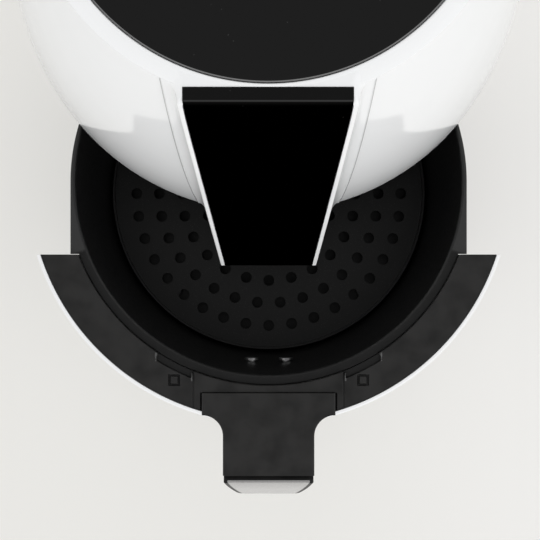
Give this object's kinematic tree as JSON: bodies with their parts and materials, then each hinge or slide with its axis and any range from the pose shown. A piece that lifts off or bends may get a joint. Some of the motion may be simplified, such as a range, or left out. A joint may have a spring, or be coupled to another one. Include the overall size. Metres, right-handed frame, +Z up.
{
  "type": "hot-air fryer with pull-out drawer",
  "caption": "Egg-shaped hot-air fryer with a black top, a sloping front panel and a pull-out drawer that carries a deep pan, a perforated lift-out plate and a flat handle.",
  "frame": {"origin": "on the surface it stands on, under the middle of the whole object with the drawer part open", "axes": "+Z up, front and drawer handle towards -Y, +X to the right seen from the front"},
  "size_m": [0.266, 0.434, 0.307],
  "materials": {
    "white_shell": "smooth gloss white",
    "black_gloss": "polished black",
    "black_plastic": "fine satin black",
    "nonstick": "dark non-stick coat",
    "dark_sheet": "dark grey coated sheet",
    "bright_sheet": "bright rolled sheet",
    "steel": "plain bright steel",
    "heater_sheath": "dark oxidised tube",
    "ceramic": null,
    "motor_metal": "zinc plated steel",
    "circuit": "green laminate",
    "grey_plastic": "plain grey",
    "rubber": "matt black"
  },
  "bodies": {
    "housing": {"outer_shell": "white_shell", "top_bezel": "white_shell", "top_panel": "black_gloss", "front_bezel": "white_shell", "front_panel": "black_gloss", "display_board": "circuit", "base_plate": "black_plastic", "rubber_feet": "rubber", "base_screws": "steel", "bay_liner": "dark_sheet", "left_rail": "black_plastic", "right_rail": "black_plastic", "floor_runners": "black_plastic", "sill_plate": "black_plastic", "mouth_frame": "black_plastic", "chamber_deck": "dark_sheet", "guard_grille": "steel", "reflector": "bright_sheet", "heating_element": "heater_sheath", "heater_terminals": "ceramic", "heater_hangers": "steel", "temp_probe": "steel", "thermal_cutout": "steel", "motor_bracket": "motor_metal", "motor": "motor_metal", "motor_screws": "steel", "power_board": "circuit", "board_posts": "grey_plastic", "drawer_switch": "black_plastic", "terminal_block": "black_plastic", "exhaust_duct": "bright_sheet", "rear_vent": "black_plastic", "cord_gland": "rubber"},
    "fan_rotor": {"motor_shaft": "steel", "hot_air_fan": "bright_sheet", "fan_nut": "steel", "cooling_fan": "black_plastic"},
    "plunger": {"switch_plunger": "black_plastic"},
    "drawer": {"pan": "nonstick", "drawer_trim": "black_plastic", "drawer_front": "white_shell", "drawer_end_caps": "black_plastic", "handle_core": "black_plastic", "handle_cover": "white_shell", "handle_underside": "black_plastic", "handle_bracket": "steel", "handle_screws": "steel", "pan_rivets": "steel"},
    "crisper": {"crisper_plate": "nonstick", "crisper_knob": "steel", "crisper_feet": "rubber"}
  },
  "joints": [
    {"name": "drawer_slide", "type": "slide", "parent": "housing", "child": "drawer", "axis": [0, -1, 0], "range_m": [-0.115, 0.14]},
    {"name": "crisper_lift", "type": "slide", "parent": "drawer", "child": "crisper", "axis": [0, 0, 1], "range_m": [0, 0.08]},
    {"name": "fan_spin", "type": "hinge", "parent": "housing", "child": "fan_rotor", "pos_m": [0, 0.07619, 0.19], "axis": [0, 0, 1], "continuous": true},
    {"name": "switch_press", "type": "slide", "parent": "housing", "child": "plunger", "axis": [0, 1, 0], "range_m": [0, 0.0025], "stiffness_N_per_m": 300}
  ]
}
